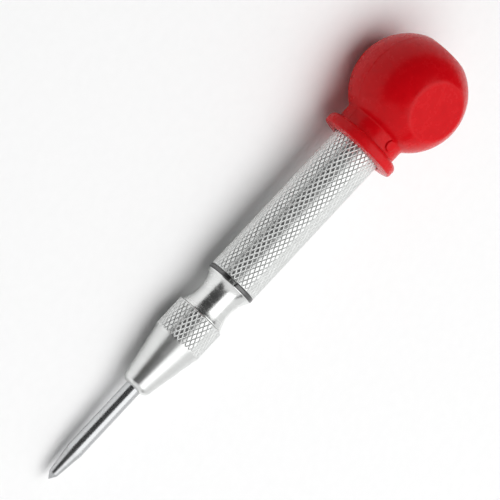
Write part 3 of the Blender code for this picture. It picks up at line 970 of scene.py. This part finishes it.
class PUNCH_OT_nose(PieceOperator, bpy.types.Operator):
    """Make the nose: polished cone with a rounded mouth and a knurled band"""

    bl_idname = "punch.nose"
    bl_label = "Nose Cone"

    def build(self, scene):
        """Turn the nose and roll its knurl."""
        knurl = scene.punch_knurl
        start, end, radius = extent("nose_cone")
        band = end - 8.7 * MM
        face = 3.45 * MM
        bore = 2.23 * MM
        chamber = 3.2 * MM
        thread = 5.3 * MM
        chamfer = 0.18 * MM
        front_chamfer = 0.35 * MM
        step = knurl.pitch / knurl.samples
        root = radius - 0.16 * MM
        profile = soften([
            (thread, end),
            (root, end, 0.08 * MM),
            (radius, end - chamfer),
        ], 2)[:-1]
        profile += rows_between(band + front_chamfer, end - chamfer, step, radius)
        slope = math.atan2(root - face, band - start)
        mouth_round = 1.8 * MM
        mouth_r = face - mouth_round * (1.0 - math.sin(slope)) / math.cos(slope)
        mouth_deg = math.degrees(math.acos((bore + 0.12 * MM - mouth_r) / mouth_round))
        profile += [(root, band, 0.0)]
        profile += arc(mouth_r, start + mouth_round, mouth_round, -math.degrees(slope), -mouth_deg, 14)
        profile += soften([
            (face, start),
            (bore, start + 0.15 * MM),
            (bore, start + 4.4 * MM),
            (chamber, start + 4.4 * MM),
            (chamber, start + 15.1 * MM),
            (thread, start + 15.1 * MM),
        ], 8)[1:]
        piece = lathe("nose", profile, even_azimuths(knurl.starts * knurl.samples))
        add_tree(
            piece, helical_grooves_tree(), Starts=float(knurl.starts), Axial_Pitch=knurl.pitch,
            Depth=knurl.depth, Groove_Share=2.0 / knurl.samples, Left_Hand_Too=1.0,
            Start=band + front_chamfer, End=end - chamfer, Run_Out=1e-5,
            Skin_Radius=radius - 1e-5, Material=material_named("rolled_aluminium"),
        )
        present(settle(piece), "nose_cone")


class PUNCH_OT_neck(PieceOperator, bpy.types.Operator):
    """Make the waisted neck with a threaded stud at each end"""

    bl_idname = "punch.neck"
    bl_label = "Neck"

    def build(self, scene):
        """Turn the neck and cut its threads."""
        start, end, _ = extent("neck")
        stud = 5.0 * MM
        pitch = 0.75 * MM
        waist = 4.86 * MM
        sweep = 9.2 * MM
        middle = start + 12.5 * MM
        front = start + 8.1 * MM - GAP + JOINT_LINE
        shoulder = middle + 5.2 * MM
        collar = shoulder + 0.8 * MM
        groove = 5.5 * MM
        chamber = 3.2 * MM
        throat = 2.3 * MM
        relief = 2.9 * MM
        spring_seat = start + 11.5 * MM
        throat_end = start + 12.8 * MM
        edge_round = 0.05 * MM
        thread_depth = 0.4 * MM
        rear_deg = 180.0 - math.degrees(math.asin((shoulder - middle) / sweep))
        front_deg = 180.0 + math.degrees(math.asin((middle - front) / sweep))
        step = pitch / 8
        curve = arc(waist + sweep, middle, sweep, rear_deg, front_deg, 48)
        rear_edge, front_edge = curve[0][0], curve[-1][0]
        profile = [(throat, end, 0.0), (stud - thread_depth, end, 1.0)]
        profile += rows_between(collar, end - thread_depth, step, stud)
        profile += soften([
            (stud, collar),
            (groove, collar),
            (groove, shoulder),
            (rear_edge - edge_round, shoulder, edge_round),
            curve[1][:2],
        ], 2)[1:-1]
        profile += curve[1:-1]
        profile += soften([
            curve[-2][:2],
            (front_edge - edge_round, front, edge_round),
            (stud, front),
        ], 2)[1:-1]
        profile += rows_between(start + thread_depth, front, step, stud)
        profile += [(stud - thread_depth, start, 1.0), (chamber, start, 0.0)]
        profile += [
            (chamber, spring_seat, 0.0),
            (throat, spring_seat, 0.0),
            (throat, throat_end, 0.0),
            (relief, throat_end, 0.0),
            (relief, end - 3.7 * MM, 0.0),
            (throat, end - 1.5 * MM, 0.0),
        ]
        piece = lathe("waisted_neck", profile, even_azimuths(FINE_COLUMNS))
        for first, last in ((start + thread_depth, front), (collar, end - thread_depth)):
            add_tree(
                piece, helical_grooves_tree(), Starts=1.0, Axial_Pitch=pitch, Depth=thread_depth,
                Groove_Share=0.9, Left_Hand_Too=0.0, Start=first, End=last, Run_Out=0.8 * MM,
                Skin_Radius=stud - 1e-5, Material=material_named("polished_aluminium"),
            )
        present(settle(piece), "neck")


class PUNCH_OT_ring(PieceOperator, bpy.types.Operator):
    """Make the black open ring between neck and barrel"""

    bl_idname = "punch.ring"
    bl_label = "Split Ring"

    def build(self, scene):
        """Bend the wire and round its cut ends."""
        start, end, outer = extent("split_ring")
        shift = 0.325 * MM
        station = (start + end) / 2 + shift
        half_width = 0.50 * MM
        half_depth = 0.35 * MM
        corner = 0.24 * MM
        path = outer - half_depth
        points = [TOOL_INVERSE @ v.co for v in frame["nodes"]["split_ring"].data.vertices]
        angles = sorted(math.atan2(p.y, p.x) for p in points)
        gap, after = max((b - a, b) for a, b in zip(angles, angles[1:]))
        sweep = math.tau - gap
        section = self.section(half_depth, half_width, corner)
        ends = 5
        length_steps = 180
        end_round = 0.10 * MM
        spots = []
        for i in range(ends):
            turn = math.pi / 2 * i / ends
            spots.append((end_round * (1 - math.cos(turn)) / path, end_round * (1 - math.sin(turn))))
        middle = [(end_round / path + (sweep - 2 * end_round / path) * i / length_steps, 0.0)
                  for i in range(length_steps + 1)]
        spots = spots + middle + [(sweep - along, inset) for along, inset in reversed(spots)]
        bm = bmesh.new()
        edge_layer = bm.verts.layers.float.new("edge")
        rings = []
        for along, inset in spots:
            angle = after + along
            outward = Vector((math.cos(angle), math.sin(angle), 0.0))
            ring = []
            for depth, width in section:
                share = 1.0 - inset / half_depth
                spot = outward * (path + depth * share)
                vertex = bm.verts.new((spot.x, spot.y, station + width * share))
                vertex[edge_layer] = 1.0 if inset else 0.0
                ring.append(vertex)
            rings.append(ring)
        count = len(section)
        for a, b in zip(rings, rings[1:]):
            for k in range(count):
                m = (k + 1) % count
                bm.faces.new((a[k], b[k], b[m], a[m]))
        bm.faces.new(rings[0])
        bm.faces.new(reversed(rings[-1]))
        bmesh.ops.recalc_face_normals(bm, faces=bm.faces)
        mesh = bpy.data.meshes.new("ring")
        bm.to_mesh(mesh)
        bm.free()
        piece = bpy.data.objects.new("ring", mesh)
        scene.collection.objects.link(piece)
        present(piece, "split_ring", "oxide_black")

    def section(self, half_depth, half_width, corner):
        """Outline of the flat-sided wire: a rectangle with round corners."""
        points = []
        for quarter in range(4):
            side_x = half_depth - corner if quarter in (0, 3) else corner - half_depth
            side_y = half_width - corner if quarter in (0, 1) else corner - half_width
            for step in range(5):
                angle = math.pi / 2 * (quarter + step / 4)
                points.append((side_x + corner * math.cos(angle), side_y + corner * math.sin(angle)))
        return points


class PUNCH_OT_barrel(PieceOperator, bpy.types.Operator):
    """Make the knurled barrel"""

    bl_idname = "punch.barrel"
    bl_label = "Barrel"

    def build(self, scene):
        """Turn the tube and roll its knurl."""
        knurl = scene.punch_knurl
        solid_start, end, radius = extent("barrel")
        start = solid_start + 0.15 * MM
        chamfer = 0.12 * MM
        knurl_end = extent("grip_cap")[0] + 4.1 * MM
        bore = 4.6 * MM
        thread = 5.3 * MM
        front_step = start + 6.7 * MM
        rear_step = end - 14.5 * MM
        step = knurl.pitch / knurl.samples
        root = radius - chamfer
        profile = soften([
            (thread, end),
            (root, end, 0.04 * MM),
            (radius, end - chamfer, 0.04 * MM),
            (radius, knurl_end),
        ], 2)[:-1]
        profile += rows_between(start + chamfer, knurl_end, step, radius)
        profile += soften([
            (radius, start + chamfer),
            (root, start, 0.04 * MM),
            (thread, start),
            (thread, front_step),
            (bore, front_step),
            (bore, rear_step),
            (thread, rear_step),
        ], 2)[1:]
        piece = lathe("knurled_barrel", profile, even_azimuths(knurl.starts * knurl.samples))
        add_tree(
            piece, helical_grooves_tree(), Starts=float(knurl.starts), Axial_Pitch=knurl.pitch,
            Depth=knurl.depth, Groove_Share=2.0 / knurl.samples, Left_Hand_Too=1.0,
            Start=start + chamfer, End=knurl_end, Run_Out=1e-5,
            Skin_Radius=radius - 1e-5, Material=material_named("rolled_aluminium"),
        )
        present(settle(piece), "barrel")


class PUNCH_OT_cap(PieceOperator, bpy.types.Operator):
    """Make the red moulded cap: ball, side flats, flange, seam and boss"""

    bl_idname = "punch.cap"
    bl_label = "Grip Cap"

    def build(self, scene):
        """Turn the cap, press its flats, raise its seam and join its boss."""
        settings = scene.punch_cap
        # The moulding keeps just inside its solid, which is what the tool lies on.
        solid_start, solid_end, solid_ball = extent("grip_cap")
        start = solid_start + 0.5 * MM
        end = solid_end - 0.3 * MM
        ball = solid_ball - 0.1 * MM
        centre = end - 13.0 * MM
        flat = 12.1 * MM
        neck = 8.3 * MM
        flange = 10.1 * MM
        flange_end = end - 28.1 * MM
        underside = 0.35 * MM
        socket = 6.8 * MM
        socket_end = centre
        shank = 4.3 * MM
        shank_end = end - 5.0 * MM
        fillet = 1.0 * MM
        end_round = 1.6 * MM
        seam = settings.seam_height
        skin = ball - seam

        rise = end - centre - end_round
        reach = math.sqrt((skin - end_round) ** 2 - rise ** 2)
        top_deg = math.degrees(math.atan2(rise, reach))
        fillet_r = neck + fillet
        fillet_z = -math.sqrt((skin + fillet) ** 2 - fillet_r ** 2)
        low_deg = math.degrees(math.atan2(fillet_z, fillet_r))

        profile = [(0.0, end, 0.0)]
        profile += [(reach * share, end - 0.05 * MM * share ** 2, 0.0) for share in (0.3, 0.6, 0.85)]
        profile += arc(reach, centre + rise - 0.05 * MM, end_round, 90.0, top_deg, 8)
        profile += arc(0.0, centre, skin, top_deg, low_deg, 96)[1:]
        profile += arc(fillet_r, centre + fillet_z, fillet, 180.0 + low_deg, 180.0, 10)[1:]
        profile += soften([
            (neck, centre + fillet_z - 0.001 * MM),
            (neck, flange_end, 0.25 * MM),
            (flange, flange_end, 1.3 * MM),
            (flange, start + underside, 0.5 * MM),
            (socket + 0.25 * MM, start, 0.2 * MM),
            (socket, start + 0.6 * MM),
            (socket, socket_end),
            (shank, socket_end),
            (shank, shank_end),
            (0.0, shank_end),
        ], 6)[1:]
        fine = math.radians(0.28)
        azimuths = set(even_azimuths(216))
        for side in (math.pi / 2, 3 * math.pi / 2):
            azimuths = {a for a in azimuths if abs(a - side) > 3.2 * fine or a == side}
            azimuths |= {side + fine * k for k in (-3, -2, -1, 0, 1, 2, 3)}
        piece = lathe("moulded_cap", profile, sorted(azimuths))

        boss_radius = 1.45 * MM
        boss_height = 1.8 * MM
        boss_middle = 7.8 * MM
        boss_station = end - 25.9 * MM
        bm = bmesh.new()
        bmesh.ops.create_cone(
            bm, cap_ends=True, segments=48, radius1=boss_radius, radius2=boss_radius,
            depth=boss_height,
            matrix=Matrix.Translation((boss_middle, 0.0, boss_station))
            @ Matrix.Rotation(math.pi / 2, 4, "Y"),
        )
        rim = [e for e in bm.edges if all(v.co.x > neck for v in e.verts)]
        bmesh.ops.bevel(bm, geom=rim, offset=0.35 * MM, segments=5, affect="EDGES", profile=0.5)
        mesh = bpy.data.meshes.new("boss")
        bm.to_mesh(mesh)
        bm.free()
        boss = bpy.data.objects.new("boss", mesh)
        scene.collection.objects.link(boss)
        union = piece.modifiers.new("boss", "BOOLEAN")
        union.solver = "EXACT"
        union.operation = "UNION"
        union.object = boss
        piece = settle(piece)
        bpy.data.objects.remove(boss)

        outer_limit = socket + 0.6 * MM
        edge = piece.data.attributes.get("edge")
        soft = settings.flat_softness
        for index, vertex in enumerate(piece.data.vertices):
            x, y, z = vertex.co
            radius = math.hypot(x, y)
            if radius < outer_limit:
                continue
            # The seam runs up both sides, midway between the flats.
            across = abs(x) / (2 * fine * ball)
            if abs(y) > outer_limit / 2 and across < 1.0 and z > flange_end:
                grow = 1.0 + seam * (1.0 - across ** 2) / radius
                x, y = x * grow, y * grow
            # A side flat is the ball cut off with a soft rim.
            if abs(z - centre) < ball:
                over = abs(x) - flat
                blend = max(soft - abs(over), 0.0) / soft
                pressed = min(abs(x), flat) - blend ** 2 * soft / 4
                # The rim also goes into the edge mask, which the red material paints paler: a painted
                # highlight along the flat's rim.
                if edge and abs(over) < 1.2 * soft:
                    edge.data[index].value = max(edge.data[index].value, blend)
                x = math.copysign(pressed, x)
            vertex.co = (x, y, z)
        present(piece, "grip_cap", "moulded_red")


class PUNCH_OT_springs(PieceOperator, bpy.types.Operator):
    """Wind the return spring and the main spring"""

    bl_idname = "punch.springs"
    bl_label = "Springs"

    def build(self, scene):
        """Wind both springs to the outline of their nodes."""
        wires = {
            "return_spring": (0.3 * MM, 9.0, "punch_slide"),
            "main_spring": (0.6 * MM, 7.0, "hammer_slide"),
        }
        for node, (wire, turns, joint) in wires.items():
            start, end, outer = extent(node)
            mesh = bpy.data.meshes.new(node)
            piece = bpy.data.objects.new(node.replace("_", "_coil_"), mesh)
            scene.collection.objects.link(piece)
            add_tree(
                piece, coil_tree(), Coil_Radius=outer - wire, Wire_Radius=wire, Start=start,
                End=end, Turns=turns, Points=int(turns) * 48 + 1,
                Material=material_named("spring_wire"),
            )
            piece = settle(piece)
            present(piece, node)
            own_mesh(piece)


class PUNCH_OT_striker(PieceOperator, bpy.types.Operator):
    """Make the inner steel pieces: stem, hammer and spring seat"""

    bl_idname = "punch.striker"
    bl_label = "Stem, Hammer and Seat"

    def build(self, scene):
        """Turn the three pieces."""
        self.hammer()
        self.seat()
        self.stem(scene)

    def hammer(self):
        """Striker with its blind hole."""
        start, end, radius = extent("hammer")
        hole = 1.45 * MM
        profile = soften([
            (0.0, end),
            (radius, end, 0.5 * MM),
            (radius, start, 0.5 * MM),
            (hole + 0.2 * MM, start, 0.1 * MM),
            (hole, start + 0.3 * MM),
            (hole, start + 10.0 * MM),
            (0.0, start + 10.7 * MM),
        ], 4)
        present(lathe("striker", profile, even_azimuths(INNER_COLUMNS)), "hammer", "hardened_steel")

    def seat(self):
        """Thrust disc with its pilot."""
        start, end, radius = extent("spring_seat")
        disc = end - 2.2 * MM
        pilot = 2.2 * MM
        profile = soften([
            (0.0, end),
            (radius, end, 0.2 * MM),
            (radius, disc, 0.2 * MM),
            (pilot, disc),
            (pilot, start, 0.5 * MM),
            (0.0, start),
        ], 4)
        present(lathe("thrust_seat", profile, even_azimuths(INNER_COLUMNS)), "spring_seat",
                "hardened_steel")

    def stem(self, scene):
        """Stepped stem, leaning about its flange as its node does."""
        joint = next(j for j in frame["joints"] if j["name"] == "stem_lean")
        pivot = TOOL_INVERSE @ Vector(joint["pos_m"])
        lean = Matrix.Rotation(-math.radians(joint["range_deg"][1] - 0.01), 4, "Y")
        length = extent("trip_stem")[1] - pivot.z
        shank = 1.5 * MM
        collar = 2.0 * MM
        tail = 1.3 * MM
        flange = 2.8 * MM
        collar_start = 20.9 * MM
        collar_end = 24.4 * MM
        profile = soften([
            (0.0, length),
            (tail, length, 0.25 * MM),
            (tail, collar_end),
            (collar, collar_end, 0.1 * MM),
            (collar, collar_start + 0.5 * MM, 0.1 * MM),
            (shank, collar_start),
            (shank, 1.3 * MM),
            (flange, 1.3 * MM, 0.15 * MM),
            (flange, 0.15 * MM, 0.1 * MM),
            (shank, 0.0),
            (0.0, 0.0),
        ], 3)
        piece = lathe("stepped_stem", profile, even_azimuths(INNER_COLUMNS))
        piece.data.transform(Matrix.Translation((0.0, 0.0, pivot.z)) @ lean)
        present(piece, "trip_stem", "hardened_steel")


class PUNCH_OT_screw(PieceOperator, bpy.types.Operator):
    """Make the brass adjusting screw with its thread"""

    bl_idname = "punch.screw"
    bl_label = "Adjusting Screw"

    def build(self, scene):
        """Turn the screw and cut its thread."""
        start, end, radius = extent("adjusting_screw")
        shank = 4.0 * MM
        thread_end = start + 12.8 * MM
        pitch = 1.0 * MM
        profile = soften([
            (0.0, end),
            (shank, end, 0.4 * MM),
            (shank, thread_end),
            (radius, thread_end, 0.0),
        ], 3)
        profile += rows_between(start + 0.5 * MM, thread_end, pitch / 10, radius)[1:]
        profile += [(radius - 0.5 * MM, start, 1.0), (0.0, start, 0.0)]
        piece = lathe("threaded_screw", profile, even_azimuths(INNER_COLUMNS))
        add_tree(
            piece, helical_grooves_tree(), Starts=1.0, Axial_Pitch=pitch, Depth=0.55 * MM,
            Groove_Share=0.9, Left_Hand_Too=0.0, Start=start + 0.5 * MM, End=thread_end,
            Run_Out=0.9 * MM, Skin_Radius=radius - 1e-5, Material=material_named("screw_brass"),
        )
        present(settle(piece), "adjusting_screw")


# ---------------------------------------------------------------- the studio

class PUNCH_OT_studio(PieceOperator, bpy.types.Operator):
    """Set up the pale floor, the soft lights and the camera"""

    bl_idname = "punch.studio"
    bl_label = "Studio"

    def build(self, scene):
        """Make floor, room, lights and camera."""
        studio = scene.punch_studio
        scene.view_settings.view_transform = "Standard"
        self.floor(scene)
        self.room(scene, studio)
        self.panel(scene, "overhead_softbox", (0.0, 0.15, 1.20), 7.0, (2.4, 1.28),
                   studio.softbox_level)
        self.panel(scene, "back_card", (0.0, 1.25, 0.86), 90.0, (2.4, 1.70), studio.back_level)
        self.panel(scene, "end_card", (1.0, -0.1, 0.50), 90.0, (1.6, 0.95), studio.back_level,
                   turn_deg=-90.0)
        fill = self.panel(scene, "fill_light", (0.0, 0.30, 1.3), 13.0, (2.4, 1.6),
                          studio.fill_level)
        fill.visible_glossy = False
        self.camera(scene, studio)

    def floor(self, scene):
        """A wide pale floor under the tool."""
        bm = bmesh.new()
        bmesh.ops.create_grid(bm, x_segments=1, y_segments=1, size=4.0)
        mesh = bpy.data.meshes.new("floor")
        bm.to_mesh(mesh)
        bm.free()
        floor = bpy.data.objects.new("floor", mesh)
        floor.location.z = CAD_BOX[0].z
        mesh.materials.append(material_named("floor_paper"))
        scene.collection.objects.link(floor)

    def room(self, scene, studio):
        """A dim room round the lights."""
        world = bpy.data.worlds.new("room")
        world.use_nodes = True
        background = world.node_tree.nodes["Background"]
        background.inputs["Color"].default_value = (1.0, 1.0, 1.0, 1.0)
        background.inputs["Strength"].default_value = studio.room_level
        scene.world = world

    def panel(self, scene, name, place, lean_deg, size, level, turn_deg=0.0):
        """A glowing panel, leaned from facing down and then turned about the vertical."""
        data = bpy.data.lights.new(name, "AREA")
        data.shape = "RECTANGLE"
        data.size, data.size_y = size
        data.energy = level * math.pi * size[0] * size[1]
        light = bpy.data.objects.new(name, data)
        light.location = place
        light.rotation_euler = (math.radians(-lean_deg), 0.0, math.radians(turn_deg))
        scene.collection.objects.link(light)
        return light

    def camera(self, scene, studio):
        """Camera aimed at the tool, rolled so that its axis slopes across the picture."""
        up, side, along = (TOOL.col[i].to_3d() for i in range(3))
        radial = up * math.cos(studio.camera_azimuth) + side * math.sin(studio.camera_azimuth)
        toward = math.cos(studio.camera_lead) * radial - math.sin(studio.camera_lead) * along
        axis_seen = (along - along.dot(toward) * toward).normalized()
        across = axis_seen.cross(toward)
        angle = studio.axis_angle
        picture_x = math.cos(angle) * axis_seen + math.sin(angle) * across
        picture_y = math.sin(angle) * axis_seen - math.cos(angle) * across
        aim = TOOL @ Vector((0.0, 0.0, studio.aim_station)) + studio.aim_offset * across
        matrix = Matrix((picture_x, picture_y, toward)).transposed().to_4x4()
        matrix.translation = aim + studio.camera_distance * toward
        data = bpy.data.cameras.new("camera")
        data.sensor_width = 36.0
        data.lens = data.sensor_width * studio.camera_distance / studio.picture_width
        data.clip_start = 0.05
        camera = bpy.data.objects.new("camera", data)
        camera.matrix_world = matrix
        scene.collection.objects.link(camera)
        scene.camera = camera


OPERATORS = (
    PUNCH_OT_studio, PUNCH_OT_pin, PUNCH_OT_nose, PUNCH_OT_neck, PUNCH_OT_ring, PUNCH_OT_barrel,
    PUNCH_OT_cap, PUNCH_OT_springs, PUNCH_OT_striker, PUNCH_OT_screw,
)
SETTINGS = {
    "punch_knurl": KnurlSettings,
    "punch_cap": CapSettings,
    "punch_metal": MetalSettings,
    "punch_studio": StudioSettings,
}


class PUNCH_PT_panel(bpy.types.Panel):
    """Sidebar panel with the settings and one button for each piece"""

    bl_idname = "PUNCH_PT_panel"
    bl_label = "Centre Punch"
    bl_space_type = "VIEW_3D"
    bl_region_type = "UI"
    bl_category = "Centre Punch"

    def draw(self, context):
        """Lay out the settings and the buttons."""
        for name in SETTINGS:
            settings = getattr(context.scene, name)
            box = self.layout.box()
            box.label(text=settings.rna_type.name)
            for prop in settings.rna_type.properties:
                if prop.identifier not in {"rna_type", "name"}:
                    box.prop(settings, prop.identifier)
        for operator in OPERATORS:
            self.layout.operator(operator.bl_idname)


def register():
    """Register the settings, the operators and the panel."""
    for name, kind in SETTINGS.items():
        bpy.utils.register_class(kind)
        setattr(bpy.types.Scene, name, PointerProperty(type=kind))
    for kind in (*OPERATORS, PUNCH_PT_panel):
        bpy.utils.register_class(kind)


def unregister():
    """Remove everything that register added."""
    for kind in reversed((*OPERATORS, PUNCH_PT_panel)):
        bpy.utils.unregister_class(kind)
    for name, kind in SETTINGS.items():
        delattr(bpy.types.Scene, name)
        bpy.utils.unregister_class(kind)


def main():
    """Build every piece and the studio."""
    register()
    for item in list(bpy.context.scene.collection.objects):
        if item.type in {"LIGHT", "CAMERA"} or item.name == "Cube":
            bpy.data.objects.remove(item, do_unlink=True)
    for operator in OPERATORS:
        group, name = operator.bl_idname.split(".")
        getattr(getattr(bpy.ops, group), name)()


if __name__ == "__main__":
    main()
